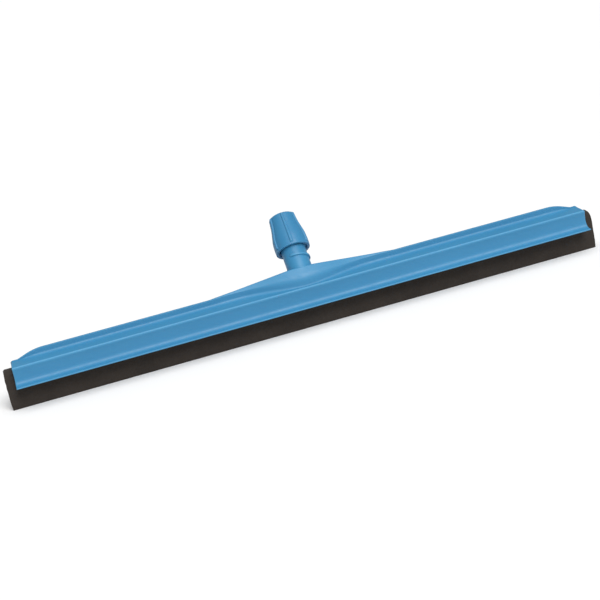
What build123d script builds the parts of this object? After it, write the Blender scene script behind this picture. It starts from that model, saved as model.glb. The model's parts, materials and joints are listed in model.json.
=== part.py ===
"""Floor squeegee head: moulded hood with a folded moss-rubber blade and a clamping handle socket.

Frame, in millimetres: X runs along the blade, -Y is the front, +Z is up, and the two
rubber edges stand on Z = 0 with the origin under the middle of the hood.
"""
import os
from math import cos, radians, sin, sqrt, tan

from build123d import *

os.makedirs("parts", exist_ok=True)

# --- Driving dimensions ------------------------------------------------------------

# Moss-rubber blade: one strip folded over a stiff core
blade_length = 750
leg_thickness = 8.4
core_thickness = 5.0
fold_height = 37.5
core_bottom = 30.5
core_length = 728

# Hood: a skirt with flared lips around a channel that grips the folded strip
hood_length = 729
lip_reach = 30.4
lip_height = 28.8
lip_edge = 1.6
flare_reach = 25.6
flare_height = 30.9
waist_reach = 19.9
waist_height = 39.0
shoulder_reach = 21.3
shoulder_height = 48.8
bead_reach = 21.9
bead_height = 51.2
roof_edge_reach = 20.3
roof_edge_height = 53.2
roof_height = 54.7
roof_slope_end = 7.4
rear_edge_height = 50.2
rear_edge_reach = 21.2
rear_slab_root = 4
wall = 2.5
skirt_mouth = 26.5
roof_under = 51
ceiling_drop = 0.6
skirt_tangent = (0.12, 1)
skirt_inner_start = (-1, 0.2)
roof_corner = 1.2
end_inset = 0.7
end_straight_from = 41
end_straight_to = 52.2
roof_end_inset = 0.6
cap_end_inset = 1.6
channel_gap = 0.25
jaw_thickness = 2.4
jaw_bottom = 31.5
jaw_chamfer = 0.8
jaw_lead_in = 0.5
barb_pitch = 2.6
barb_count = 2
barb_length = 2
barb_drop = 0.3
barb_embed = 0.4
spine_half_width = 6
web_thickness = 2.0
web_pitch = 30
web_count = 24
web_outline = (
    (20.2, 34),
    (18.5, 38),
    (18.6, 42),
    (19.9, 49.5),
    (18.6, 52.2),
    (5.5, 52.2),
    (5.5, 49),
    (9, 47.2),
    (12.4, 42),
    (12.4, 34),
)

# Fin along the hood
fin_top = 63.8
fin_half_thickness = 1.8
fin_edge_radius = 0.8
cove_height = 60
fin_end = 357
fin_knee = 341
fin_full = 323
fin_end_height = 56.2
fin_knee_height = 61.1

# Buttress that carries the handle socket
buttress_bottom = 51.7
buttress_wall_top = 64.2
buttress_half_width = 16.2
buttress_half_length = 84
gusset_half_length = 118
gusset_peak = 73.6
shoulder_tilt = 14.6
buttress_reach = 40

# Handle socket, measured along its leaning axis
lean = 37.8
socket_root = 59.5
neck_radius = 15.3
neck_foot = 4
neck_top = 64
neck_chamfer = 0.8
handle_bore = 11.15
bore_bottom = 5
guide_bore = 13.35
guide_bottom = 46
seat_bottom = 40
cut_margin = 1

# Coarse left-hand thread between the neck and the lock collar, with a short ridge below it
# that stops the tightened collar
thread_lead = 8.5
thread_depth = 1.9
thread_flank = 0.9
thread_embed = 0.3
thread_clearance = 0.3
neck_crest_width = 2.2
neck_thread_start = 41.4
neck_thread_angle = 30
neck_thread_turns = 1.2
stop_ridge_start = 23.5
stop_ridge_turns = 0.46
collar_crest_width = 3.0
collar_thread_start = 42.2
collar_thread_turns = 2.0

# Lock collar, with its barrel as (radius, height) points
collar_bottom = 38.9
collar_top = 86.1
collar_rim_radius = 21.7
collar_rim_chamfer = 0.8
collar_top_radius = 15.2
collar_barrel = ((21.8, 46), (21.4, 54), (19.6, 63), (17.8, 72), (16.9, 80), (16.5, 84.6))
top_rounding = 1.7
barrel_tangent = (-0.08, 1)
rib_foot_tangent = (0.4, 1)
thread_runout = 2
shoulder_step = 1
collar_mouth = 12.4
mouth_chamfer = 0.6
collar_lead_in = 1.2
collar_thread_end = 63
collar_shoulder = 73
collar_seat = 82.1
rib_count = 6
rib_angle = -6
rib_width = 3.0
rib_height = 1.3
rib_embed = 1.1
rib_start = 41.5
rib_top = 85.6

# Clamp sleeve
sleeve_bottom = 52
sleeve_top = 82
sleeve_radius = 13.2
nose_radius = 12.3
nose_length = 2.5
flange_radius = 14.6
flange_height = 6
flange_chamfer = 1.4
slot_count = 6
slot_width = 2.2
slot_length = 19


# --- Planes and derived sizes ------------------------------------------------------

lean_axis = Vector(0, sin(radians(lean)), cos(radians(lean)))
socket_origin = Vector(0, 0, socket_root)
socket_plane = Plane(origin=socket_origin, x_dir=(1, 0, 0), z_dir=lean_axis)
socket_axis = Axis(socket_origin, lean_axis)
hood_plane = Plane(origin=(0, 0, 0), x_dir=(0, 1, 0), z_dir=(1, 0, 0))

fold_radius = leg_thickness + core_thickness / 2
core_radius = core_thickness / 2
channel_radius = fold_radius + channel_gap
jaw_outer = channel_radius + jaw_thickness
crest_radius = neck_radius + thread_depth
collar_thread_bore = crest_radius + thread_clearance
collar_neck_bore = neck_radius + thread_clearance
collar_flange_bore = flange_radius + thread_clearance

# The collar's ridge runs midway between the neck's turns
turns_apart = (collar_thread_start - neck_thread_start) / thread_lead
collar_thread_angle = neck_thread_angle - 360 * (turns_apart - 0.5)


def radial_plane(angle):
    """Plane through the socket axis, turned about it: x points outward and y up the axis."""
    outward = socket_plane.x_dir * cos(radians(angle)) + socket_plane.y_dir * sin(radians(angle))
    return Plane(origin=socket_origin, x_dir=outward, z_dir=outward.cross(lean_axis))


def helical_ridge(root, crest, crest_width, bottom, turns, start_angle):
    """Left-hand thread ridge on the socket axis, from its root radius to its crest radius."""
    root_width = crest_width + 2 * thread_flank
    embed = thread_embed if root > crest else -thread_embed
    helix = Edge.make_helix(thread_lead, turns * thread_lead, root, lefthand=True)
    start = Plane(origin=helix @ 0, x_dir=(1, 0, 0), z_dir=helix % 0)
    with BuildPart() as ridge:
        with BuildSketch(start):
            with BuildLine():
                Polyline(
                    (embed, -root_width / 2),
                    (crest - root, -crest_width / 2),
                    (crest - root, crest_width / 2),
                    (embed, root_width / 2),
                    close=True,
                )
            make_face()
        sweep(path=helix, is_frenet=True)
    turned = ridge.part.rotate(Axis.Z, start_angle)
    return socket_plane.offset(bottom).location * turned


# --- Moss-rubber blade and its core ------------------------------------------------

with BuildPart() as rubber_blade:
    with BuildSketch(hood_plane):
        with BuildLine():
            outer_leg = Line((fold_radius, 0), (fold_radius, fold_height))
            outer_fold = RadiusArc(outer_leg @ 1, (-fold_radius, fold_height), -fold_radius)
            rear_leg = Line(outer_fold @ 1, (-fold_radius, 0))
            rear_edge = Line(rear_leg @ 1, (-core_radius, 0))
            rear_inner = Line(rear_edge @ 1, (-core_radius, fold_height))
            inner_fold = RadiusArc(rear_inner @ 1, (core_radius, fold_height), core_radius)
            front_inner = Line(inner_fold @ 1, (core_radius, 0))
            Line(front_inner @ 1, outer_leg @ 0)
        make_face()
    extrude(amount=blade_length / 2, both=True)

with BuildPart() as blade_core:
    with BuildSketch(hood_plane):
        with BuildLine():
            core_side = Line((core_radius, core_bottom), (core_radius, fold_height))
            core_round = RadiusArc(core_side @ 1, (-core_radius, fold_height), -core_radius)
            core_back = Line(core_round @ 1, (-core_radius, core_bottom))
            Line(core_back @ 1, core_side @ 0)
        make_face()
    extrude(amount=core_length / 2, both=True)


# --- Buttress between the fin and the handle socket --------------------------------

shoulder_drop = tan(radians(shoulder_tilt))

with BuildPart() as buttress:
    with BuildSketch(Plane.XY.offset(buttress_wall_top)) as buttress_plan:
        with BuildLine():
            front = Spline(
                (-buttress_half_length, -fin_half_thickness),
                (0, -buttress_half_width),
                (buttress_half_length, -fin_half_thickness),
                tangents=((1, 0), (1, 0)),
            )
            right_fin = Line(front @ 1, (gusset_half_length, -fin_half_thickness))
            right_end = Line(right_fin @ 1, (gusset_half_length, fin_half_thickness))
            right_back = Line(right_end @ 1, (buttress_half_length, fin_half_thickness))
            back = Spline(
                right_back @ 1,
                (0, buttress_half_width),
                (-buttress_half_length, fin_half_thickness),
                tangents=((-1, 0), (-1, 0)),
            )
            left_back = Line(back @ 1, (-gusset_half_length, fin_half_thickness))
            left_end = Line(left_back @ 1, (-gusset_half_length, -fin_half_thickness))
            Line(left_end @ 1, front @ 0)
        make_face()
    extrude(amount=buttress_reach, dir=lean_axis)
    with BuildSketch(Plane.XZ):
        with BuildLine():
            Polyline(
                (-gusset_half_length, buttress_bottom),
                (-gusset_half_length, fin_top),
                (-neck_radius, gusset_peak),
                (neck_radius, gusset_peak),
                (gusset_half_length, fin_top),
                (gusset_half_length, buttress_bottom),
                close=True,
            )
        make_face()
    extrude(
        amount=buttress_reach * 2,
        dir=(0, 1, -shoulder_drop),
        both=True,
        mode=Mode.INTERSECT,
    )


# --- Holder: hood, fin, buttress, socket neck and its thread -----------------------

spine_top = roof_height - wall
rear_fall = (roof_height - rear_edge_height) / (rear_edge_reach - roof_slope_end)
rear_cut_reach = rear_edge_reach + wall
rear_cut_height = rear_edge_height - rear_fall * wall

with BuildPart() as holder:
    # Full outer section, right half mirrored to the left
    with BuildSketch(hood_plane) as hood_section:
        with BuildLine():
            under = Line((0, lip_height), (lip_reach - lip_edge / 2, lip_height))
            lip_nose = ThreePointArc(
                under @ 1,
                (lip_reach, lip_height + lip_edge / 2),
                (lip_reach - lip_edge / 2, lip_height + lip_edge),
            )
            lip_top = Line(lip_nose @ 1, (flare_reach, flare_height))
            flare = Spline(
                lip_top @ 1,
                (waist_reach, waist_height),
                (shoulder_reach, shoulder_height),
                tangents=(lip_top % 1, skirt_tangent),
            )
            bead = ThreePointArc(
                flare @ 1, (bead_reach, bead_height), (roof_edge_reach, roof_edge_height)
            )
            roof = Line(bead @ 1, (roof_slope_end, roof_height))
            cove = Spline(
                roof @ 1,
                (fin_half_thickness, cove_height),
                tangents=(roof % 1, (0, 1)),
            )
            fin_side = Line(cove @ 1, (fin_half_thickness, fin_top - fin_edge_radius))
            fin_round = RadiusArc(
                fin_side @ 1, (fin_half_thickness - fin_edge_radius, fin_top), -fin_edge_radius
            )
            crown = Line(fin_round @ 1, (0, fin_top))
            Line(crown @ 1, under @ 0)
        make_face()
        mirror(about=Plane.YZ)
    extrude(amount=hood_length / 2, both=True)

    # Channel for the strip and the hollows inside the skirt, open at the bottom
    with BuildSketch(hood_plane) as hollow_section:
        with BuildLine():
            mouth = Line((0, lip_height - wall), (skirt_mouth, lip_height - wall))
            lip_inside = Line(mouth @ 1, (skirt_mouth, lip_height))
            skirt = Spline(
                lip_inside @ 1,
                (waist_reach - wall, waist_height),
                (shoulder_reach - wall, shoulder_height),
                tangents=(skirt_inner_start, skirt_tangent),
            )
            roof_inside = RadiusArc(
                skirt @ 1, (shoulder_reach - wall - roof_corner, roof_under), -roof_corner * 2
            )
            ceiling = Line(roof_inside @ 1, (spine_half_width, spine_top - ceiling_drop))
            jaw_meet = fold_height + sqrt(jaw_outer**2 - spine_half_width**2)
            spine_side = Line(ceiling @ 1, (spine_half_width, jaw_meet))
            jaw_crown = RadiusArc(spine_side @ 1, (jaw_outer, fold_height), jaw_outer)
            jaw_side = Line(jaw_crown @ 1, (jaw_outer, jaw_bottom + jaw_chamfer))
            jaw_foot = Line(jaw_side @ 1, (jaw_outer - jaw_chamfer, jaw_bottom))
            jaw_tip = Line(jaw_foot @ 1, (channel_radius + jaw_lead_in, jaw_bottom))
            jaw_lead = Line(jaw_tip @ 1, (channel_radius, jaw_bottom + jaw_chamfer))
            channel_side = Line(jaw_lead @ 1, (channel_radius, fold_height))
            seat = RadiusArc(channel_side @ 1, (0, fold_height + channel_radius), -channel_radius)
            Line(seat @ 1, mouth @ 0)
        make_face()
        mirror(about=Plane.YZ)
    extrude(amount=hood_length / 2, both=True, mode=Mode.SUBTRACT)

    # Barbs along both jaws that hold the strip
    with BuildSketch(hood_plane) as barb_section:
        for row in range(barb_count):
            barb_top = fold_height - row * barb_pitch
            with BuildLine():
                Polyline(
                    (channel_radius + barb_embed, barb_top),
                    (fold_radius, barb_top - barb_drop),
                    (channel_radius + barb_embed, barb_top - barb_length),
                    close=True,
                )
            make_face()
        mirror(about=Plane.YZ)
    extrude(amount=hood_length / 2, both=True)

    # Cross webs that tie the jaws to the skirt
    with BuildSketch(hood_plane, mode=Mode.PRIVATE) as web_section:
        with BuildLine():
            Polyline(*web_outline, close=True)
        make_face()
        mirror(about=Plane.YZ)
    web_span = web_pitch * (web_count - 1)
    for web in range(web_count):
        web_x = web * web_pitch - web_span / 2
        extrude(
            web_section.sketch.moved(Location((web_x - web_thickness / 2, 0, 0))),
            amount=web_thickness,
            dir=(1, 0, 0),
        )

    # The rear roof slopes down more than the front one: its slab, then the cut above it
    with BuildSketch(hood_plane) as rear_slab:
        with BuildLine():
            Polyline(
                (rear_slab_root, spine_top),
                (roof_slope_end, roof_height),
                (rear_edge_reach, rear_edge_height),
                (rear_edge_reach - roof_corner, rear_edge_height - wall),
                (roof_slope_end, spine_top),
                (rear_slab_root, spine_top - ceiling_drop),
                close=True,
            )
        make_face()
    extrude(amount=hood_length / 2, both=True)
    with BuildSketch(hood_plane) as rear_cut:
        with BuildLine():
            Polyline(
                (roof_slope_end, roof_height),
                (roof_slope_end, fin_top),
                (rear_cut_reach, fin_top),
                (rear_cut_reach, rear_cut_height),
                close=True,
            )
        make_face()
    extrude(amount=hood_length / 2, both=True, mode=Mode.SUBTRACT)

    # Side outline: drafted ends and the fin falling away to the shoulders
    with BuildSketch(Plane.XZ) as side_outline:
        with BuildLine():
            half = hood_length / 2
            floor = Line((0, lip_height - wall), (half, lip_height - wall))
            lip_end = Line(floor @ 1, (half, lip_height + lip_edge))
            end_low = Line(lip_end @ 1, (half - end_inset, end_straight_from))
            end_mid = Line(end_low @ 1, (half - end_inset, end_straight_to))
            end_high = Line(end_mid @ 1, (half - roof_end_inset, roof_height))
            end_top = Line(end_high @ 1, (half - cap_end_inset, fin_end_height))
            shoulder = Line(end_top @ 1, (fin_end, fin_end_height))
            fall = Line(shoulder @ 1, (fin_knee, fin_knee_height))
            fall_round = TangentArc(fall @ 1, (fin_full, fin_top), tangent=fall % 1)
            ridge_line = Line(fall_round @ 1, (0, fin_top))
            Line(ridge_line @ 1, floor @ 0)
        make_face()
        mirror(about=Plane.YZ)
    extrude(amount=lip_reach + wall, both=True, mode=Mode.INTERSECT)

    # Buttress, its upright foot and the neck
    add(buttress.part)
    extrude(
        buttress_plan.sketch,
        amount=buttress_wall_top - buttress_bottom,
        dir=(0, 0, -1),
    )
    with BuildSketch(radial_plane(0)) as neck_section:
        with BuildLine():
            Polyline(
                (0, neck_foot),
                (neck_radius, neck_foot),
                (neck_radius, neck_top - neck_chamfer),
                (neck_radius - neck_chamfer, neck_top),
                (0, neck_top),
                close=True,
            )
        make_face()
    revolve(axis=socket_axis)
    for ridge_start, ridge_turns in (
        (stop_ridge_start, stop_ridge_turns),
        (neck_thread_start, neck_thread_turns),
    ):
        add(
            helical_ridge(
                neck_radius,
                crest_radius,
                neck_crest_width,
                ridge_start,
                ridge_turns,
                neck_thread_angle,
            )
        )

    # Handle bore, the cone that closes the sleeve and the sleeve's guide
    with BuildSketch(radial_plane(0)) as bore_section:
        with BuildLine():
            Polyline(
                (0, bore_bottom),
                (handle_bore, bore_bottom),
                (handle_bore, seat_bottom),
                (guide_bore, guide_bottom),
                (guide_bore, neck_top + cut_margin),
                (0, neck_top + cut_margin),
                close=True,
            )
        make_face()
    revolve(axis=socket_axis, mode=Mode.SUBTRACT)


# --- Lock collar -------------------------------------------------------------------

with BuildPart() as lock_collar:
    with BuildSketch(radial_plane(0)) as collar_section:
        with BuildLine():
            rim = Line(
                (collar_thread_bore + collar_lead_in, collar_bottom),
                (collar_rim_radius - collar_rim_chamfer / 2, collar_bottom),
            )
            rim_edge = Line(rim @ 1, (collar_rim_radius, collar_bottom + collar_rim_chamfer))
            barrel = Spline(rim_edge @ 1, *collar_barrel, tangents=((0, 1), barrel_tangent))
            top_round = RadiusArc(barrel @ 1, (collar_top_radius, collar_top), -top_rounding)
            top_face = Line(top_round @ 1, (collar_mouth + mouth_chamfer, collar_top))
            Polyline(
                top_face @ 1,
                (collar_mouth, collar_top - mouth_chamfer),
                (collar_mouth, collar_seat),
                (collar_flange_bore, collar_seat),
                (collar_flange_bore, collar_shoulder + shoulder_step),
                (collar_neck_bore, collar_shoulder),
                (collar_neck_bore, collar_thread_end + thread_runout),
                (collar_thread_bore, collar_thread_end),
                (collar_thread_bore, collar_bottom + collar_lead_in),
                rim @ 0,
            )
        make_face()
    revolve(axis=socket_axis)
    add(
        helical_ridge(
            collar_thread_bore,
            neck_radius + thread_clearance,
            collar_crest_width,
            collar_thread_start,
            collar_thread_turns,
            collar_thread_angle,
        )
    )
    # Grip ribs that follow the barrel
    rib_crest = [(radius + rib_height, height) for radius, height in collar_barrel]
    rib_root = [(radius - rib_embed, height) for radius, height in collar_barrel]
    rib_root[0] = (collar_barrel[0][0] - rib_embed, rib_start - rib_embed)
    for rib in range(rib_count):
        with BuildSketch(radial_plane(rib * 360 / rib_count + rib_angle - 90)):
            with BuildLine():
                rib_foot = Line(rib_root[0], (collar_rim_radius, rib_start))
                rib_back = Spline(
                    rib_foot @ 1, *rib_crest, tangents=(rib_foot_tangent, barrel_tangent)
                )
                Polyline(rib_back @ 1, (collar_barrel[-1][0], rib_top), *reversed(rib_root))
            make_face()
        extrude(amount=rib_width / 2, both=True)


# --- Clamp sleeve ------------------------------------------------------------------

with BuildPart() as clamp_sleeve:
    with BuildSketch(radial_plane(0)):
        with BuildLine():
            Polyline(
                (handle_bore, sleeve_bottom),
                (nose_radius, sleeve_bottom),
                (sleeve_radius, sleeve_bottom + nose_length),
                (sleeve_radius, sleeve_top - flange_height),
                (flange_radius, sleeve_top - flange_height + flange_chamfer),
                (flange_radius, sleeve_top),
                (handle_bore, sleeve_top),
                close=True,
            )
        make_face()
    revolve(axis=socket_axis)
    for slot in range(slot_count // 2):
        with BuildSketch(radial_plane(slot * 360 / slot_count)):
            with Locations((0, sleeve_bottom + slot_length / 2)):
                Rectangle(4 * sleeve_radius, slot_length)
        extrude(amount=slot_width / 2, both=True, mode=Mode.SUBTRACT)


# --- Export ------------------------------------------------------------------------

holder.part.label = "holder"
rubber_blade.part.label = "rubber_blade"
blade_core.part.label = "blade_core"
clamp_sleeve.part.label = "clamp_sleeve"
lock_collar.part.label = "lock_collar"

export_step(holder.part, "parts/holder.step")
export_step(rubber_blade.part, "parts/rubber_blade.step")
export_step(blade_core.part, "parts/blade_core.step")
export_step(clamp_sleeve.part, "parts/clamp_sleeve.step")
export_step(lock_collar.part, "parts/lock_collar.step")
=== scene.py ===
"""Floor squeegee head: detailed meshes, materials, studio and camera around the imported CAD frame.

Frame: X along the blade, -Y to the front, +Z up, and the floor on Z = 0. Meshes are worked
out in millimetres, and finish_piece() scales them to the frame's metres.
"""
import json

from math import acos, cos, degrees, pi, radians, sin, tan

import bmesh
import bpy
from mathutils import Matrix, Vector, noise


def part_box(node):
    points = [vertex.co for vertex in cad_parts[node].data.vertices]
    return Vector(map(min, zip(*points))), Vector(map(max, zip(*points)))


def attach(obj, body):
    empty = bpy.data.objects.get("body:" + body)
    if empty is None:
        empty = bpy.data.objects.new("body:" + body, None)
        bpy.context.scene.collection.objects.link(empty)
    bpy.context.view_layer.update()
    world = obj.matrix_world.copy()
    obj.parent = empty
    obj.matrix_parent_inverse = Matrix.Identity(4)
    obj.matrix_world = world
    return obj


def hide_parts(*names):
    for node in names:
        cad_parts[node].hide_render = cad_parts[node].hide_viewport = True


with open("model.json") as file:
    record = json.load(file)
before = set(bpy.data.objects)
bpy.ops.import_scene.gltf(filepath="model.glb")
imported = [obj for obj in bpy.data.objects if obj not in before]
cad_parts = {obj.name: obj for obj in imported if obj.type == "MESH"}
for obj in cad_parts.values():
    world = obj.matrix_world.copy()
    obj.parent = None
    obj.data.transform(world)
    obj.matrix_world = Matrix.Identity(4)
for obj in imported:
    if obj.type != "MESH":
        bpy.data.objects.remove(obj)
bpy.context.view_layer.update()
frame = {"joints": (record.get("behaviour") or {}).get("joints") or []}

MM = 0.001
SHARP_ANGLE = 32


# --- Sizes from the frame, in millimetres ------------------------------------------

blade_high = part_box("rubber_blade")[1] / MM
hood_low, hood_high = (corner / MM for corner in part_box("holder"))
core_low, core_high = (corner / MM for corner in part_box("blade_core"))
turn_joint = next(joint for joint in frame["joints"] if joint["name"] == "collar_turn")

SOCKET_ORIGIN = Vector(turn_joint["pos_m"]) / MM
SOCKET_AXIS = Vector(turn_joint["axis"]).normalized()
SOCKET_SIDE = Vector((1, 0, 0))
SOCKET_BACK = SOCKET_AXIS.cross(SOCKET_SIDE)
LEAN_SIN, LEAN_COS = SOCKET_AXIS.y, SOCKET_AXIS.z

HOOD_HALF = hood_high.x
LIP_REACH = -hood_low.y
LIP_HEIGHT = hood_low.z
BLADE_HALF = blade_high.x
FOLD_RADIUS = blade_high.y
FOLD_HEIGHT = blade_high.z - FOLD_RADIUS
CORE_RADIUS = core_high.y
CORE_BOTTOM = core_low.z
CORE_HALF = core_high.x

# Sizes that the boxes don't show, the same as in the CAD source
CHANNEL_RADIUS = FOLD_RADIUS + 0.25
JAW_OUTER = CHANNEL_RADIUS + 2.4
JAW_BOTTOM = 31.5
SPINE_HALF = 6.0
SPINE_TOP = 52.2
BARB_TOPS = (37.5, 34.9)
WEB_PITCH = 30.0
WEB_COUNT = 24
WEB_THICKNESS = 2.0
FIN_TOP = 63.8
FIN_HALF = 1.8
FIN_END = 357.0
FIN_KNEE = 341.0
FIN_FULL = 323.0
FIN_END_HEIGHT = 56.2
FIN_KNEE_HEIGHT = 61.1
WALL_TOP = 64.2
BUTTRESS_HALF_WIDTH = 16.2
BUTTRESS_HALF_LENGTH = 84.0
GUSSET_HALF_LENGTH = 118.0
GUSSET_PEAK = 73.6
SHOULDER_SLOPE = tan(radians(14.6))
NECK_RADIUS = 15.3
NECK_TOP = 64.0
HANDLE_BORE = 11.15
GUIDE_BORE = 13.35
NECK_FOOT = 4.0
BORE_BOTTOM = 5.0
SEAT_BOTTOM = 40.0
GUIDE_BOTTOM = 46.0

# Threads, with heights along the socket axis
THREAD_LEAD = 8.5
THREAD_CREST = 17.2
THREAD_ANGLE = 120.0
NECK_RIDGE_WIDTH = 2.2
STOP_RIDGE_START = 23.5
STOP_RIDGE_TURNS = 0.46
THREAD_START = 41.4
THREAD_TURNS = 1.2
COLLAR_BORE = 17.5
COLLAR_THREAD_CREST = 15.6
COLLAR_THREAD_WIDTH = 3.0
COLLAR_THREAD_START = 42.2
COLLAR_THREAD_TURNS = 2.0


# --- Mesh helpers ------------------------------------------------------------------


def smoothstep(low, high, value):
    """0 below low, 1 above high, with a smooth rise between."""
    share = min(max((value - low) / (high - low), 0), 1)
    return share * share * (3 - 2 * share)


def steps(first, last, count):
    """Evenly spaced values from first to last, both included."""
    return [first + (last - first) * k / (count - 1) for k in range(count)]


def bend(start, corner, end, count):
    """Points after start on the curve that turns from start to end at a corner."""
    points = []
    for share in steps(0, 1, count + 1)[1:]:
        weights = ((1 - share) ** 2, 2 * share * (1 - share), share**2)
        pairs = zip(weights, (start, corner, end))
        points.append(sum((Vector(place) * weight for weight, place in pairs), Vector((0, 0))))
    return points


def through(places, count):
    """Smooth curve through the places, with count points on each stretch."""
    ends = [Vector(place) for place in places]
    ends = [2 * ends[0] - ends[1]] + ends + [2 * ends[-1] - ends[-2]]
    points = [ends[1]]
    for before, start, end, after in zip(ends, ends[1:], ends[2:], ends[3:]):
        for share in steps(0, 1, count + 1)[1:]:
            leave = (end - before) * 0.5
            arrive = (after - start) * 0.5
            cubic = 2 * share**3 - 3 * share**2
            points.append(
                start * (cubic + 1)
                + end * -cubic
                + leave * (share**3 - 2 * share**2 + share)
                + arrive * (share**3 - share**2)
            )
    return points


def rounded(corners):
    """Open outline through (y, z, reach, count) corners, each turned over its reach."""
    outline = [Vector(corners[0][:2])]
    for before, (y, z, reach, count), after in zip(corners, corners[1:], corners[2:]):
        here = Vector((y, z))
        back = Vector(before[:2]) - here
        ahead = Vector(after[:2]) - here
        start = here + back.normalized() * min(reach, 0.48 * back.length)
        end = here + ahead.normalized() * min(reach, 0.48 * ahead.length)
        outline += [start] + bend(start, here, end, count)
    return outline + [Vector(corners[-1][:2])]


def inset(outline, distances):
    """The closed outline moved inward point by point, for an outline that runs clockwise."""
    moved = []
    count = len(outline)
    for k, (point, distance) in enumerate(zip(outline, distances)):
        along = (outline[(k + 1) % count] - outline[k - 1]).normalized()
        moved.append(point + Vector((along.y, -along.x)) * distance)
    return moved


def loft(mesh, rings, capped=True):
    """Quads between equal closed rings of 3-D points, and flat caps on the first and last."""
    layers = [[mesh.verts.new(point) for point in ring] for ring in rings]
    for low, high in zip(layers, layers[1:]):
        for k in range(len(low)):
            after = (k + 1) % len(low)
            mesh.faces.new((low[k], low[after], high[after], high[k]))
    if capped:
        mesh.faces.new(layers[0][::-1])
        mesh.faces.new(layers[-1])


def finish_piece(name, mesh, material, body):
    """Scales a mesh to metres, shades it and lets it ride on a CAD body."""
    bmesh.ops.remove_doubles(mesh, verts=mesh.verts, dist=1e-5)
    bmesh.ops.recalc_face_normals(mesh, faces=mesh.faces)
    bmesh.ops.triangulate(mesh, faces=[f for f in mesh.faces if len(f.verts) > 4])
    bmesh.ops.scale(mesh, vec=(MM, MM, MM), verts=mesh.verts)
    data = bpy.data.meshes.new(name)
    mesh.to_mesh(data)
    mesh.free()
    data.shade_smooth()
    data.set_sharp_from_angle(angle=radians(SHARP_ANGLE))
    data.materials.append(material)
    piece = bpy.data.objects.new(name, data)
    bpy.context.scene.collection.objects.link(piece)
    flat = piece.modifiers.new("flat_faces", "WEIGHTED_NORMAL")
    flat.keep_sharp = True
    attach(piece, body)
    return piece


def on_socket(radius, angle, height):
    """Point about the socket axis, where angle 0 is the front and a quarter turn is +X."""
    outward = SOCKET_SIDE * sin(angle) - SOCKET_BACK * cos(angle)
    return SOCKET_ORIGIN + SOCKET_AXIS * height + outward * radius


# One flank of a thread ridge, as (share of its depth, distance past half its crest width).
# A ridge fades over a part of a turn at both ends, and sinks by a share of its depth there.
THREAD_FLANK = ((-0.3, 1.05), (0.0, 0.95), (0.12, 0.78), (0.85, 0.12), (0.97, -0.08), (1.0, -0.35))
THREAD_STEPS = 72
THREAD_FADE = 0.06
THREAD_SINK = 0.25


def thread(mesh, root, crest, width, start, turns, first_angle):
    """Left-hand thread ridge with rounded flanks, which sinks into its root at both ends."""
    section = [(reach, -0.5 * width - past) for reach, past in THREAD_FLANK]
    section += [(reach, 0.5 * width + past) for reach, past in reversed(THREAD_FLANK)]
    rings = []
    count = int(turns * THREAD_STEPS)
    depth = crest - root
    for k in range(count + 1):
        share = k / count
        fade = smoothstep(0, THREAD_FADE, share * turns)
        fade *= smoothstep(0, THREAD_FADE, (1 - share) * turns)
        angle = first_angle - 2 * pi * turns * share
        height = start + THREAD_LEAD * turns * share
        ring = []
        for reach, along in section:
            rise = depth * (min(reach, 0) + max(reach, 0) * fade - THREAD_SINK * (1 - fade))
            ring.append(on_socket(root + rise, angle, height + along))
        rings.append(ring)
    loft(mesh, rings)


# --- Materials ---------------------------------------------------------------------


class Shader:
    """A Principled material with short calls for its nodes and links."""

    def __init__(self, name, **values):
        self.material = bpy.data.materials.new(name)
        self.material.use_nodes = True
        self.nodes = self.material.node_tree.nodes
        self.links = self.material.node_tree.links
        self.surface = self.nodes["Principled BSDF"]
        self.place = self.add("ShaderNodeTexCoord").outputs["Object"]
        for socket, value in values.items():
            self.surface.inputs[socket.replace("_", " ")].default_value = value

    def plug(self, node, inputs):
        for key, value in inputs.items():
            if isinstance(value, bpy.types.NodeSocket):
                self.links.new(value, node.inputs[key])
            else:
                node.inputs[key].default_value = value

    def add(self, kind, inputs=None, **settings):
        node = self.nodes.new(kind)
        for key, value in settings.items():
            setattr(node, key, value)
        self.plug(node, inputs or {})
        return node

    def noise(self, scale, detail, roughness, stretch=None):
        place = self.place
        if stretch:
            place = self.add("ShaderNodeMapping", {"Vector": place, "Scale": stretch}).outputs[0]
        inputs = {"Vector": place, "Scale": scale, "Detail": detail, "Roughness": roughness}
        return self.add("ShaderNodeTexNoise", inputs).outputs["Fac"]

    def span(self, value, low, high, new_low, new_high):
        inputs = {"Value": value, "From Min": low, "From Max": high}
        inputs.update({"To Min": new_low, "To Max": new_high})
        return self.add("ShaderNodeMapRange", inputs).outputs["Result"]

    def mix(self, share, first, second):
        node = self.add("ShaderNodeMix", {0: share, 6: first, 7: second}, data_type="RGBA")
        return node.outputs[2]

    def bump(self, height, distance, strength, under=None):
        inputs = {"Height": height, "Distance": distance, "Strength": strength}
        if under:
            inputs["Normal"] = under
        return self.add("ShaderNodeBump", inputs).outputs["Normal"]

    def drive(self, socket, output):
        self.links.new(output, self.surface.inputs[socket])


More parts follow.
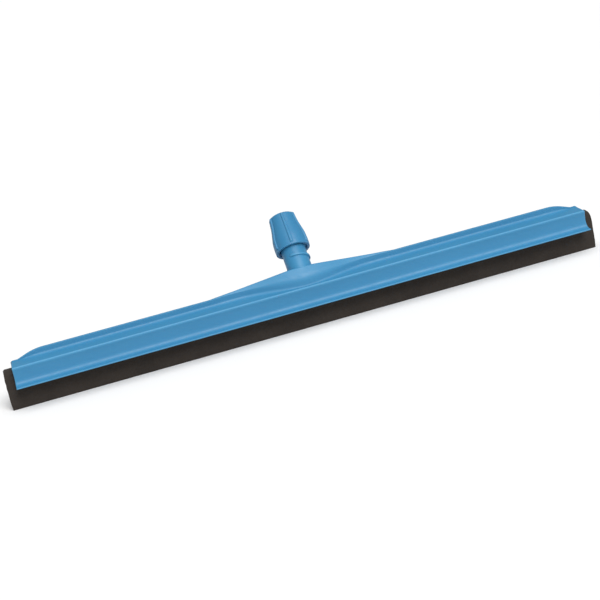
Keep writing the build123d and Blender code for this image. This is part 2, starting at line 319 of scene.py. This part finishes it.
def blue_plastic(name, base, light, dark):
    """Moulded polypropylene: fine spark texture, faint flow marks, and paler convex edges that are a
    painted highlight with a little rubbed wear.
    """
    shader = Shader(name, Specular_IOR_Level=0.42, Subsurface_Weight=0.05, Subsurface_Scale=0.003)
    cloud = shader.span(shader.noise(14, 4, 0.55, stretch=(0.35, 1, 1)), 0.35, 0.68, 0, 1)
    speck = shader.span(shader.noise(900, 3, 0.7), 0.62, 0.78, 0, 0.35)
    body = shader.mix(speck, shader.mix(cloud, dark, base), light)
    # Convex edges paled towards the light tone: a painted highlight along them, with a little rubbed
    # wear
    edge = shader.add("ShaderNodeNewGeometry").outputs["Pointiness"]
    edge_highlight_and_wear = shader.span(edge, 0.51, 0.58, 0, 0.8)
    shader.drive("Base Color", shader.mix(edge_highlight_and_wear, body, light))
    patches = shader.noise(160, 4, 0.6)
    shader.drive("Roughness", shader.span(patches, 0.3, 0.7, 0.4, 0.54))
    ripple = shader.bump(shader.noise(45, 2, 0.4, stretch=(0.3, 1, 1)), 0.0005, 0.1)
    shader.drive("Normal", shader.bump(shader.noise(2600, 2, 0.6), 0.00005, 0.35, ripple))
    return shader.material


def moss_rubber_sheet():
    """Closed-cell moss rubber cut from sheet: brown-black, dry and full of small cells."""
    shader = Shader("moss_rubber", Specular_IOR_Level=0.2, Sheen_Weight=0.06, Sheen_Roughness=0.6)
    inputs = {"Vector": shader.place, "Scale": 1100, "Randomness": 1.0}
    cells = shader.add("ShaderNodeTexVoronoi", inputs).outputs["Distance"]
    wall = shader.span(cells, 0.08, 0.55, 0, 1)
    patches = shader.noise(38, 4, 0.6)
    tone = shader.span(patches, 0.35, 0.7, 0, 1)
    brown = shader.mix(tone, (0.027, 0.021, 0.017, 1), (0.040, 0.032, 0.026, 1))
    # Cell middles darkened towards near black: painted shade in the sunk pits
    painted_pit_shade = shader.span(wall, 0, 1, 0.45, 0)
    shader.drive("Base Color", shader.mix(painted_pit_shade, brown, (0.01, 0.008, 0.007, 1)))
    shader.drive("Roughness", shader.span(patches, 0.3, 0.7, 0.78, 0.92))
    uneven = shader.bump(patches, 0.0015, 0.2)
    shader.drive("Normal", shader.bump(wall, 0.0003, 0.55, uneven))
    return shader.material


def extruded_strip():
    """Extruded regrind plastic with drawing lines along it."""
    shader = Shader("core_plastic", Specular_IOR_Level=0.4)
    lines = shader.noise(900, 3, 0.6, stretch=(0.01, 1, 1))
    shader.drive("Base Color", shader.mix(lines, (0.02, 0.02, 0.022, 1), (0.05, 0.05, 0.055, 1)))
    shader.drive("Roughness", shader.span(lines, 0.3, 0.7, 0.35, 0.6))
    shader.drive("Normal", shader.bump(lines, 0.0002, 0.3))
    return shader.material


def natural_acetal():
    """Uncoloured acetal: waxy, slightly translucent and off-white."""
    shader = Shader(
        "sleeve_plastic", Specular_IOR_Level=0.5, Subsurface_Weight=0.2, Subsurface_Scale=0.003
    )
    tone = shader.noise(45, 4, 0.55)
    shader.drive("Base Color", shader.mix(tone, (0.62, 0.61, 0.56, 1), (0.74, 0.73, 0.69, 1)))
    shader.drive("Roughness", shader.span(shader.noise(300, 2, 0.5), 0.3, 0.7, 0.28, 0.42))
    shader.drive("Normal", shader.bump(shader.noise(700, 3, 0.6), 0.0001, 0.25))
    return shader.material


hood_blue = blue_plastic(
    "hood_plastic", (0.040, 0.225, 0.415, 1), (0.085, 0.325, 0.54, 1), (0.034, 0.205, 0.385, 1)
)
collar_blue = blue_plastic(
    "collar_plastic", (0.036, 0.205, 0.385, 1), (0.078, 0.305, 0.51, 1), (0.03, 0.186, 0.36, 1)
)
foam_brown = moss_rubber_sheet()
core_black = extruded_strip()
sleeve_white = natural_acetal()


# --- Hood: one section lofted along X ----------------------------------------------

# Outer side of the skirt as (reach, height), from the lip's underside to the bead
NOSE = 0.8
LIP_NOSE = [
    Vector((LIP_REACH - NOSE + NOSE * cos(turn), LIP_HEIGHT + NOSE + NOSE * sin(turn)))
    for turn in steps(-pi / 2, pi / 2, 9)
]
SKIRT_WALL = (
    LIP_NOSE
    + [Vector((27.6, 30.62)), Vector((25.6, 30.9))]
    + bend((25.6, 30.9), (20.0, 31.55), (19.9, 38.6), 12)
    + bend((19.9, 38.6), (19.9, 43.6), (21.1, 48.2), 6)
)
FRONT_BEAD = (
    (21.42, 49.3), (21.78, 50.3), (21.9, 51.2), (21.82, 52.0), (21.5, 52.75), (21.0, 53.2),
    (20.4, 53.32), (20.0, 53.12), (19.6, 53.08),
)
REAR_BEAD = (
    (21.3, 48.9), (21.4, 49.3), (21.44, 49.6), (21.36, 49.9), (21.1, 50.15), (20.7, 50.33),
    (20.3, 50.47), (20.0, 50.58), (19.6, 50.71),
)
FRONT_OUTSIDE = [Vector((-y, z)) for y, z in SKIRT_WALL + [Vector(place) for place in FRONT_BEAD]]
REAR_OUTSIDE = (SKIRT_WALL + [Vector(place) for place in REAR_BEAD])[::-1]

# Inner side of the skirt, from the spine down to the lip
LIP_INSIDE = bend((17.4, 39.2), (17.5, 30.8), (25.0, 29.5), 12)
LIP_INSIDE += [Vector((26.2, 28.95)), Vector((27.2, LIP_HEIGHT))]
FRONT_INSIDE = (
    [Vector((SPINE_HALF, 51.65)), Vector((9.0, 51.5)), Vector((16.9, 51.08))]
    + bend((16.9, 51.08), (18.55, 51.0), (18.4, 49.2), 5)
    + bend((18.4, 49.2), (17.4, 44.2), (17.4, 39.2), 6)
    + LIP_INSIDE
)
REAR_INSIDE = (
    [Vector((SPINE_HALF, 51.65)), Vector((9.3, 51.45)), Vector((17.0, 48.75))]
    + bend((17.0, 48.75), (18.4, 48.25), (18.25, 47.2), 5)
    + bend((18.25, 47.2), (17.4, 43.6), (17.4, 39.2), 6)
    + LIP_INSIDE
)

# Jaw that holds the strip, from the spine to the channel
JAW_ROUND = 0.8
LEAD_IN = 0.6
JAW_MEET = degrees(acos(SPINE_HALF / JAW_OUTER))
JAW = [Vector((SPINE_HALF, 51.0))]
JAW += [
    Vector((JAW_OUTER * cos(radians(turn)), FOLD_HEIGHT + JAW_OUTER * sin(radians(turn))))
    for turn in steps(JAW_MEET, 0, 9)
]
JAW += [Vector((JAW_OUTER, JAW_BOTTOM + JAW_ROUND))]
JAW += bend(JAW[-1], (JAW_OUTER, JAW_BOTTOM), (JAW_OUTER - JAW_ROUND, JAW_BOTTOM), 3)
JAW += [Vector((CHANNEL_RADIUS + LEAD_IN, JAW_BOTTOM))]
JAW += bend(JAW[-1], (CHANNEL_RADIUS, JAW_BOTTOM), (CHANNEL_RADIUS, JAW_BOTTOM + JAW_ROUND), 3)
CHANNEL = [
    Vector((CHANNEL_RADIUS * cos(radians(turn)), FOLD_HEIGHT + CHANNEL_RADIUS * sin(radians(turn))))
    for turn in steps(0, 180, 25)
]

# The front and the rear roof, as (side, height at the edge, slope)
ROOF_EDGE = 19.1
ROOFS = ((-1, 53.25, 0.116), (1, 50.88, 0.326))

# How the outline turns over the roofs, and the least height that the fin keeps at its ends
COVE_REACH = 5.4
CREASE_REACH = 6.5
SHARP_CREASE = 0.2
CREASE_BELOW_PEAK = 1.2
CREASE_SHARE = 0.4
TOP_REACH = 1.1
TOP_POINTS = 18
LEAST_FIN = 0.5

# Ends of the hood: a bevel, narrower on the lips and inside, and the draft of the end face
END_BEVEL = 1.1
LIP_BEVEL_SHARE = 0.5
INSIDE_BEVEL_SHARE = 0.25
FULL_BEVEL_HEIGHT = 34.0
END_TAPER = 340.0
LIP_DRAFT = 0.7
CORNER_ROUNDING = 2.2


def mirrored(outline):
    """The outline on the other side of the hood, run the other way."""
    return [Vector((-point.x, point.y)) for point in reversed(outline)]


def crown_width(x):
    """Half the thickness of the fin, or of the buttress that it widens into."""
    share = smoothstep(0, 1, 1 - abs(x) / BUTTRESS_HALF_LENGTH)
    return FIN_HALF + (BUTTRESS_HALF_WIDTH - FIN_HALF) * share


def crown_top(x):
    """Height of the top over the hood's middle line."""
    if abs(x) >= GUSSET_HALF_LENGTH:
        bent = min(max(abs(x) - FIN_FULL, 0) / (FIN_KNEE - FIN_FULL), 1)
        sloped = min(max(abs(x) - FIN_KNEE, 0) / (FIN_END - FIN_KNEE), 1)
        fall = bent * bent * (FIN_TOP - FIN_KNEE_HEIGHT)
        return FIN_TOP - fall - sloped * (FIN_KNEE_HEIGHT - FIN_END_HEIGHT)
    share = (GUSSET_HALF_LENGTH - abs(x)) / (GUSSET_HALF_LENGTH - NECK_RADIUS)
    return FIN_TOP + (GUSSET_PEAK - FIN_TOP) * min(share, 1)


def crown(x):
    """Outline from the front roof, over the fin or buttress, to the rear roof."""
    half = crown_width(x)
    top = crown_top(x)
    tilt = SHOULDER_SLOPE * smoothstep(GUSSET_HALF_LENGTH, BUTTRESS_HALF_LENGTH, abs(x))
    if abs(x) <= BUTTRESS_HALF_LENGTH:
        tilt = SHOULDER_SLOPE
    widening = (half - FIN_HALF) / (BUTTRESS_HALF_WIDTH - FIN_HALF)
    sides = []
    for side, edge_height, slope in ROOFS:
        foot = min(edge_height + slope * (ROOF_EDGE - half), top - LEAST_FIN)
        # Length of the leaning face, from the crease to the top plane
        run = max((top - WALL_TOP - tilt * side * half) / (LEAN_COS + tilt * LEAN_SIN), 0)
        peak_y = side * half + run * LEAN_SIN
        peak_z = WALL_TOP + run * LEAN_COS if run else top
        crease = min(WALL_TOP, peak_z - CREASE_BELOW_PEAK)
        crease = max(crease, foot + CREASE_SHARE * (peak_z - foot))
        sides.append(
            [
                (side * ROOF_EDGE, edge_height, 0, 0),
                (side * half, foot, COVE_REACH, 7),
                (side * half, crease, SHARP_CREASE + CREASE_REACH * widening, 8),
                (peak_y, peak_z, TOP_REACH, 5),
            ]
        )
    middle = (sides[0][-1][0] + sides[1][-1][0]) / 2, (sides[0][-1][1] + sides[1][-1][1]) / 2
    front = rounded(sides[0] + [middle])[:-1]
    rear = rounded([middle] + sides[1][::-1])[1:]
    across = [front[-1].lerp(rear[0], share) for share in steps(0, 1, TOP_POINTS)]
    return front + across[1:-1] + rear


def end_set_back(z):
    """How far the end face stands back at a height, from its draft and its rounded top."""
    return LIP_DRAFT * smoothstep(29.5, 41, z) + CORNER_ROUNDING * smoothstep(52.6, 56.4, z)


def hood_outline(x):
    """Closed cross-section, clockwise with +Y to the right: the outside, then the inside."""
    outside = FRONT_OUTSIDE + crown(x) + REAR_OUTSIDE
    inside = REAR_INSIDE[::-1] + JAW + CHANNEL[1:-1] + mirrored(JAW) + mirrored(FRONT_INSIDE[::-1])
    return outside, inside


def hood_ring(x, inward):
    """One cross-section as 3-D points, which follows the draft of the ends near them."""
    drawn = smoothstep(END_TAPER, HOOD_HALF, abs(x))
    side = 1 if x > 0 else -1
    outside, inside = hood_outline(x)
    shares = [
        LIP_BEVEL_SHARE + (1 - LIP_BEVEL_SHARE) * smoothstep(LIP_HEIGHT, FULL_BEVEL_HEIGHT, point.y)
        for point in outside
    ]
    shares += [INSIDE_BEVEL_SHARE] * len(inside)
    return [
        Vector((x - side * drawn * end_set_back(point.y), point.x, point.y))
        for point in inset(outside + inside, [inward * share for share in shares])
    ]


def bevelled_ends(half, bevel, inner):
    """(x, inset) of every cross-section from -half to half, with a rounded bevel at both ends."""
    turns = [radians(turn) for turn in (90, 67, 45, 22, 0)]
    ends = [(half - bevel * (1 - sin(turn)), bevel * (1 - cos(turn))) for turn in turns]
    right = [(x, 0) for x in inner if x > 0]
    left = [(-x, inward) for x, inward in ends + right[::-1]]
    return left + [(0, 0)] + right + ends[::-1]


def prism(mesh, outline, low, high):
    """A straight piece of one (y, z) outline between two places along X."""
    loft(mesh, [[Vector((x, y, z)) for y, z in outline] for x in (low, high)])


def revolve(profile, angles):
    """Rings about the socket axis through the (radius, height) points of a profile."""
    return [[on_socket(radius, angle, height) for angle in angles] for radius, height in profile]


def off_axis(point):
    """Distance of a point from the socket axis."""
    arm = point - SOCKET_ORIGIN
    return (arm - SOCKET_AXIS * arm.dot(SOCKET_AXIS)).length


# Cross-sections closer together where the outline changes, and closest near the fin's end
HOOD_STATIONS = (
    steps(2.5, 30, 12)
    + steps(33, 120, 30)
    + steps(126, 318, 33)
    + steps(321, 357, 19)
    + [357.6, 359, 361, 362.6]
)
hood_places = bevelled_ends(HOOD_HALF, END_BEVEL, HOOD_STATIONS)

hood = bmesh.new()
loft(hood, [hood_ring(x, inward) for x, inward in hood_places])

# The handle bore passes through the buttress, so its top is opened under the neck
OPENING_RADIUS = NECK_RADIUS - 0.6
opened = [
    face
    for face in hood.faces
    if all(off_axis(vert.co) < OPENING_RADIUS and vert.co.z > WALL_TOP for vert in face.verts)
]
bmesh.ops.delete(hood, geom=opened, context="FACES")

# Barbs along both jaws, and the cross webs that tie the jaws to the skirt, with the top of
# a web as it is under each roof
BARB_LENGTH = 2.0
BARB_DROP = 0.3
BARB_ROOT = CHANNEL_RADIUS + 0.4
BARB_HALF = HOOD_HALF - 2.0
WEB_TOPS = (
    (-1, ((19.8, 49.5), (18.6, SPINE_TOP))),
    (1, ((19.5, 47.6), (18.3, 49.2), (8.5, 52.6))),
)
WEB_FOOT = (
    (5.5, SPINE_TOP), (5.5, 49.0), (9.0, 47.2), (12.4, 42.0), (12.4, 34.6), (12.9, 34.1),
    (19.4, 34.1), (20.0, 34.3), (18.5, 38.0), (18.6, 42.0),
)
for side, web_top in WEB_TOPS:
    for top in BARB_TOPS:
        barb = (
            (side * BARB_ROOT, top),
            (side * FOLD_RADIUS, top - BARB_DROP),
            (side * BARB_ROOT, top - BARB_LENGTH),
        )
        prism(hood, barb, -BARB_HALF, BARB_HALF)
    web = web_top + WEB_FOOT
    for k in range(WEB_COUNT):
        x = WEB_PITCH * (k - (WEB_COUNT - 1) / 2)
        prism(hood, [(side * y, z) for y, z in web], x - WEB_THICKNESS / 2, x + WEB_THICKNESS / 2)

# Neck: a small fillet where it leaves the sloping shoulder, then the tube and its bore. The
# fillet is widest at the rear, and its first ring is sunk into the buttress.
NECK_ANGLES = steps(0, 2 * pi, 121)[:-1]
FRONT_FILLET = 0.3
FILLET_GROWTH = 0.5
FILLET_SINK = 1.5
fillet_rings = []
for degrees_up, sink in ((0, FILLET_SINK), (0, 0), (22, 0), (45, 0), (67, 0), (90, 0)):
    turn = radians(degrees_up)
    ring = []
    for angle in NECK_ANGLES:
        fillet = FRONT_FILLET + FILLET_GROWTH * (1 - cos(angle))
        radius = NECK_RADIUS + fillet * (1 - sin(turn))
        across = radius * cos(angle)
        lift = GUSSET_PEAK - SOCKET_ORIGIN.z + (SHOULDER_SLOPE * LEAN_COS - LEAN_SIN) * across
        height = lift / (LEAN_COS + SHOULDER_SLOPE * LEAN_SIN) + fillet * (1 - cos(turn))
        ring.append(on_socket(radius, angle, height - sink))
    fillet_rings.append(ring)
NECK_PROFILE = [
    (NECK_RADIUS, 26.0), (NECK_RADIUS, 34.0), (NECK_RADIUS, 48.0), (NECK_RADIUS, NECK_TOP - 0.8),
    (NECK_RADIUS - 0.12, NECK_TOP - 0.35), (NECK_RADIUS - 0.4, NECK_TOP - 0.08),
    (NECK_RADIUS - 0.8, NECK_TOP), (GUIDE_BORE + 0.3, NECK_TOP), (GUIDE_BORE, NECK_TOP - 0.3),
    (GUIDE_BORE, GUIDE_BOTTOM), (HANDLE_BORE, SEAT_BOTTOM), (HANDLE_BORE, 24.0),
    (HANDLE_BORE, BORE_BOTTOM + 0.6), (HANDLE_BORE - 0.6, BORE_BOTTOM),
]
neck_rings = revolve([(NECK_RADIUS, NECK_FOOT)], NECK_ANGLES) + fillet_rings
loft(hood, neck_rings + revolve(NECK_PROFILE, NECK_ANGLES))
for start, turns in ((STOP_RIDGE_START, STOP_RIDGE_TURNS), (THREAD_START, THREAD_TURNS)):
    thread(hood, NECK_RADIUS, THREAD_CREST, NECK_RIDGE_WIDTH, start, turns, radians(THREAD_ANGLE))

holder_shell = finish_piece("holder_shell", hood, hood_blue, "head")
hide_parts("holder")


# --- Lock collar -------------------------------------------------------------------

COLLAR_BOTTOM = 38.9
COLLAR_TOP = 86.1

# Barrel as (radius, height), then the whole profile, up the outside and down the bore
BARREL = [
    (21.6, 39.7), (21.75, 42), (21.8, 46), (21.4, 54), (19.6, 63), (17.8, 72), (16.9, 80),
    (16.45, 84.4),
]
COLLAR_PROFILE = [(18.4, COLLAR_BOTTOM), (21.0, COLLAR_BOTTOM), (21.35, 38.98), (21.52, 39.3)]
COLLAR_PROFILE += [tuple(point) for point in through(BARREL, 5)]
COLLAR_PROFILE += [
    (16.3, 85.1), (16.0, 85.65), (15.6, 85.98), (15.1, COLLAR_TOP), (13.0, COLLAR_TOP),
    (12.62, 85.98), (12.4, 85.5), (12.4, 82.4), (12.6, 82.1), (14.6, 82.1), (14.9, 81.8),
    (14.9, 74.0), (15.6, 73.0), (15.6, 65.0), (COLLAR_BORE, 63.0), (COLLAR_BORE, 40.4),
    (17.7, 39.6), (18.4, COLLAR_BOTTOM),
]

# Ribs, with half of their section as (distance from the middle, share of the height)
RIB_COUNT = 6
RIB_ANGLE = radians(-6)
RIB_HEIGHT = 1.45
RIB_HALF = 2.0
RIB_RADIUS = 20.0
RIB_SHAPE = [
    (0, 1), (0.55, 0.98), (1.0, 0.9), (1.35, 0.72), (1.6, 0.42), (1.8, 0.14), (RIB_HALF, 0),
]
RIB_SECTION = [(-reach, share) for reach, share in RIB_SHAPE[:0:-1]] + RIB_SHAPE
GAP_ANGLE = 2 * pi / RIB_COUNT - 2 * RIB_HALF / RIB_RADIUS

collar_lines = []
for rib in range(RIB_COUNT):
    middle = RIB_ANGLE + 2 * pi * rib / RIB_COUNT
    rib_end = middle + RIB_HALF / RIB_RADIUS
    collar_lines += [(middle + reach / RIB_RADIUS, share) for reach, share in RIB_SECTION]
    collar_lines += [(rib_end + GAP_ANGLE * share, 0) for share in steps(0, 1, 14)[1:-1]]

# Radii that tell the outside of the profile from its bore, above the shoulder and below it
BORE_SHOULDER = 73.0
UPPER_INSIDE = 15.6
LOWER_INSIDE = 17.6


def rib_rise(radius, height):
    """How far the ribs stand out of the collar's profile: nothing at its rims and inside it."""
    inside = UPPER_INSIDE if height >= BORE_SHOULDER else LOWER_INSIDE
    if radius <= inside or height <= COLLAR_BOTTOM:
        return 0
    return RIB_HEIGHT * smoothstep(40.6, 43.0, height) * smoothstep(86.2, 84.4, height)


collar = bmesh.new()
collar_rings = []
for radius, height in COLLAR_PROFILE:
    rise = rib_rise(radius, height)
    ring = [on_socket(radius + rise * share, angle, height) for angle, share in collar_lines]
    collar_rings.append(ring)
loft(collar, collar_rings, capped=False)

# The collar's thread lies half a lead off the neck's, in its groove
turned_by = (COLLAR_THREAD_START - THREAD_START) / THREAD_LEAD - 0.5
thread(
    collar, COLLAR_BORE, COLLAR_THREAD_CREST, COLLAR_THREAD_WIDTH, COLLAR_THREAD_START,
    COLLAR_THREAD_TURNS, radians(THREAD_ANGLE - 360 * turned_by),
)
collar_shell = finish_piece("collar_shell", collar, collar_blue, "collar")
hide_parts("lock_collar")


# --- Clamp sleeve ------------------------------------------------------------------

SLEEVE_BOTTOM = 52.0
SLEEVE_TOP = 82.0
SLOT_TOP = 71.0
SLOT_COUNT = 6
SLOT_HALF = 1.1
SLEEVE_OUTER = 13.2
HEAD_OUTER = 14.6
RING_BOTTOM = SLOT_TOP - 0.2

# Closed ring above the slots, as (radius, height)
SLEEVE_RING = [
    (SLEEVE_OUTER, RING_BOTTOM), (SLEEVE_OUTER, 76.0), (13.3, 76.3), (14.5, 77.3),
    (HEAD_OUTER, 77.6), (HEAD_OUTER, 81.6), (14.2, SLEEVE_TOP), (11.6, SLEEVE_TOP),
    (HANDLE_BORE, 81.6), (HANDLE_BORE, RING_BOTTOM), (SLEEVE_OUTER, RING_BOTTOM),
]

# Each finger between two slots, as (inner radius, outer radius, height)
FINGER = [
    (11.5, 12.0, SLEEVE_BOTTOM), (HANDLE_BORE, 12.4, 52.4), (HANDLE_BORE, 13.0, 54.0),
    (HANDLE_BORE, SLEEVE_OUTER, 54.8), (HANDLE_BORE, SLEEVE_OUTER, SLOT_TOP),
]

sleeve = bmesh.new()
loft(sleeve, revolve(SLEEVE_RING, NECK_ANGLES), capped=False)
for slot in range(SLOT_COUNT):
    middle = 2 * pi * slot / SLOT_COUNT
    rings = []
    for inner, outer, height in FINGER:
        ring = []
        for radius, way in ((inner, 1), (outer, -1)):
            reach = pi / SLOT_COUNT - SLOT_HALF / radius
            turns = steps(-reach, reach, 13)
            ring += [on_socket(radius, middle + way * turn, height) for turn in turns]
        rings.append(ring)
    loft(sleeve, rings)
sleeve_shell = finish_piece("sleeve_shell", sleeve, sleeve_white, "sleeve")
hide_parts("clamp_sleeve")


# --- Blade core --------------------------------------------------------------------

CORE_EDGE = 0.3
CORE_SIDE = (CORE_BOTTOM + CORE_EDGE, 33, 35)
core_outline = [Vector((-CORE_RADIUS, z)) for z in CORE_SIDE]
core_outline += [
    Vector((-CORE_RADIUS * cos(turn), FOLD_HEIGHT + CORE_RADIUS * sin(turn)))
    for turn in steps(0, pi, 17)
]
core_outline += [Vector((CORE_RADIUS, z)) for z in reversed(CORE_SIDE)]
core_outline += [Vector((CORE_RADIUS - CORE_EDGE, CORE_BOTTOM))]
core_outline += [Vector((CORE_EDGE - CORE_RADIUS, CORE_BOTTOM))]

core = bmesh.new()
core_rings = []
for x, inward in bevelled_ends(CORE_HALF, CORE_EDGE, steps(12, 360, 30)):
    outline = inset(core_outline, [inward] * len(core_outline))
    core_rings.append([Vector((x, point.x, point.y)) for point in outline])
loft(core, core_rings)
core_strip = finish_piece("core_strip", core, core_black, "head")
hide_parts("blade_core")


# --- Moss-rubber blade -------------------------------------------------------------

EDGE = 0.5
FACE_HEIGHTS = steps(1.6, 36.0, 22)
LEG_POINTS = (8.5, 5.5)
half_blade = bend((EDGE - FOLD_RADIUS, 0), (-FOLD_RADIUS, 0), (-FOLD_RADIUS, EDGE), 4)
half_blade = [Vector((EDGE - FOLD_RADIUS, 0))] + half_blade
half_blade += [Vector((-FOLD_RADIUS, z)) for z in FACE_HEIGHTS]
fold_arc = [
    Vector((-FOLD_RADIUS * cos(turn), FOLD_HEIGHT + FOLD_RADIUS * sin(turn)))
    for turn in steps(0, pi, 29)
]
inner_leg = [Vector((CORE_RADIUS + EDGE, 0))]
inner_leg += bend((CORE_RADIUS + EDGE, 0), (CORE_RADIUS, 0), (CORE_RADIUS, EDGE), 4)
inner_leg += [Vector((CORE_RADIUS, z)) for z in steps(3, 35.5, 12)]
inner_arc = [
    Vector((CORE_RADIUS * cos(turn), FOLD_HEIGHT + CORE_RADIUS * sin(turn)))
    for turn in steps(0, pi, 13)
]
BLADE_OUTLINE = (
    half_blade + fold_arc + mirrored(half_blade)
    + [Vector((y, 0)) for y in LEG_POINTS] + inner_leg + inner_arc + mirrored(inner_leg)
    + [Vector((-y, 0)) for y in reversed(LEG_POINTS)]
)

# How far the cut sheet strays from the exact outline
FOAM_BEVEL = 0.6
FACE_INSET = 0.28
SLOW_WAVE = 0.3
FINE_WAVE = 0.07
FACE_SHARE = 0.6
CUT_RISE = 0.14
CUT_WAVE = 0.16
END_REACH = 6.0
END_BULGE = 0.7
END_INSET = 0.1
END_WAVE = 0.3
CORNER_ROUND = 1.9
CORNER_START = FOLD_HEIGHT + 6.5


def uneven_foam(x, y, z):
    """The point on the cut sheet: wavy faces below the hood, wavy edges and bulging ends."""
    free = smoothstep(30, 24, z)
    side = 1 if y > 0 else -1
    slow = noise.noise(Vector((0.035 * x, 0.06 * z, 9 * side)))
    fine = noise.noise(Vector((0.3 * x, 0.3 * z, 4 * side)))
    outward = SLOW_WAVE * slow + FINE_WAVE * fine - FACE_INSET
    outer = smoothstep(CORE_RADIUS, FOLD_RADIUS, abs(y))
    edge_wave = noise.noise(Vector((0.07 * x, 3 * side, 0.5)))
    cut = smoothstep(1.4, 0, z) * (CUT_RISE + CUT_WAVE * edge_wave)
    bulge = smoothstep(0, 12, z) * smoothstep(46, 36, z) * END_BULGE
    corner = CORNER_ROUND * smoothstep(CORNER_START, FOLD_HEIGHT + FOLD_RADIUS, z) ** 2
    end_wave = noise.noise(Vector((0.2 * z, 0.2 * y, x)))
    end = smoothstep(BLADE_HALF - END_REACH, BLADE_HALF, abs(x))
    end *= corner - bulge + END_INSET + END_WAVE * end_wave
    across = side * outward * free * outer * FACE_SHARE
    return Vector((x - (end if x > 0 else -end), y + across, z + cut))


blade = bmesh.new()
blade_rings = []
for x, inward in bevelled_ends(BLADE_HALF, FOAM_BEVEL, steps(3, 372, 124)):
    outline = inset(BLADE_OUTLINE, [inward] * len(BLADE_OUTLINE))
    blade_rings.append([uneven_foam(x, point.x, point.y) for point in outline])
loft(blade, blade_rings)
foam_blade = finish_piece("foam_blade", blade, foam_brown, "head")
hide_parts("rubber_blade")


# --- Studio ------------------------------------------------------------------------

scene = bpy.context.scene
scene.view_settings.view_transform = "Standard"

FLOOR_HALF = 80.0
FLOOR_CORNERS = [
    (side * FLOOR_HALF, depth * FLOOR_HALF, 0)
    for side, depth in ((-1, -1), (1, -1), (1, 1), (-1, 1))
]
floor_shader = Shader("studio_floor", Specular_IOR_Level=0.1)
mottle = floor_shader.noise(3, 3, 0.5)
floor_shader.drive("Base Color", floor_shader.mix(mottle, (0.9, 0.9, 0.9, 1), (0.92, 0.92, 0.92, 1)))
floor_shader.drive("Roughness", floor_shader.span(mottle, 0.3, 0.7, 0.7, 0.8))
floor_data = bpy.data.meshes.new("studio_floor")
floor_data.from_pydata(FLOOR_CORNERS, [], [(0, 1, 2, 3)])
floor = bpy.data.objects.new("studio_floor", floor_data)
scene.collection.objects.link(floor)
floor_data.materials.append(floor_shader.material)

sky = bpy.data.worlds.new("studio_sky")
sky.use_nodes = True
sky.node_tree.nodes["Background"].inputs["Color"].default_value = (1, 1, 1, 1)
sky.node_tree.nodes["Background"].inputs["Strength"].default_value = 0.34
scene.world = sky


def soft_sun(name, side, height, width, power):
    """A wide distant light from a side angle (0 is the front) and a height angle, in degrees."""
    data = bpy.data.lights.new(name, "SUN")
    data.angle = radians(width)
    data.energy = power
    light = bpy.data.objects.new(name, data)
    towards = Vector((sin(radians(side)), -cos(radians(side)), tan(radians(height))))
    light.rotation_euler = towards.to_track_quat("Z", "Y").to_euler()
    scene.collection.objects.link(light)


soft_sun("key_light", 14, 45, 34, 2.6)
soft_sun("top_light", -10, 84, 50, 0.75)


# --- Camera, in metres as the frame is ----------------------------------------------

YAW = radians(10.69)
ELEVATION = radians(14.95)
ROLL = radians(-12.73)
DISTANCE = 1.8
SIDE_SHIFT = -0.00973
RISE = 0.03233
LENS = 88.0
SENSOR = 36.0

across = Vector((cos(YAW), -sin(YAW), 0))
forward = Vector((sin(YAW) * cos(ELEVATION), cos(YAW) * cos(ELEVATION), -sin(ELEVATION)))
upward = across.cross(forward)
camera_data = bpy.data.cameras.new("camera")
camera_data.lens = LENS
camera_data.sensor_width = SENSOR
camera_data.clip_start = 0.05
camera_data.clip_end = 200
camera = bpy.data.objects.new("camera", camera_data)
right = across * cos(ROLL) + upward * sin(ROLL)
top = upward * cos(ROLL) - across * sin(ROLL)
turned = Matrix((right, top, -forward)).transposed().to_4x4()
place = across * SIDE_SHIFT + upward * RISE - forward * DISTANCE
camera.matrix_world = Matrix.Translation(place) @ turned
scene.collection.objects.link(camera)
scene.camera = camera
